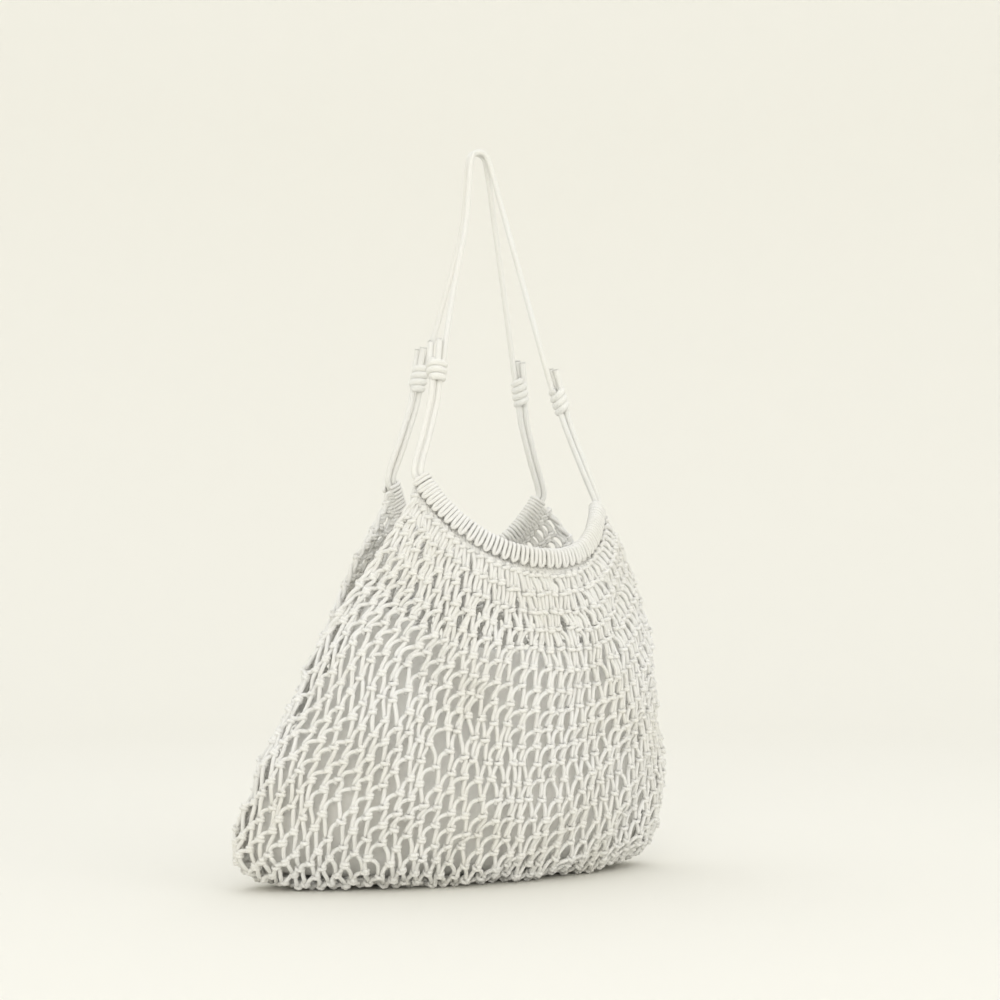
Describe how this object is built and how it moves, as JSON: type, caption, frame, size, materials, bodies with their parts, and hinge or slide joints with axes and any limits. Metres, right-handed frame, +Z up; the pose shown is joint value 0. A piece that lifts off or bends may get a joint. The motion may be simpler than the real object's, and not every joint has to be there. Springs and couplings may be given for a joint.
{
  "type": "string shopping bag",
  "caption": "Soft open-topped shoulder bag of knotted net cord, with ribbed mouth bands, braided corner cords, wound strap knots, long hanging straps and a loose inner cloth pouch.",
  "frame": {"origin": "the underside of both straps where they hang over a peg, 0.652 m above the floor that the bag's bottom just touches", "axes": "+Z up, X along the bag's width from left to right as seen from the front, -Y towards the front"},
  "size_m": [0.4179, 0.1783, 0.6577],
  "materials": {
    "net_cord": "matte warm-white braided cord",
    "strap_cord": "matte warm-white round braided cord",
    "pouch_cloth": "matte pale unbleached plain-woven cotton"
  },
  "bodies": {
    "root": {"net_body": "net_cord", "inner_pouch": "pouch_cloth", "rim_front": "net_cord", "rim_back": "net_cord", "core_front_upper": "strap_cord", "core_front_lower": "strap_cord", "core_back_upper": "strap_cord", "core_back_lower": "strap_cord", "strap_front": "strap_cord", "strap_back": "strap_cord", "knot_front_left": "strap_cord", "knot_front_right": "strap_cord", "knot_back_left": "strap_cord", "knot_back_right": "strap_cord"}
  },
  "joints": []
}
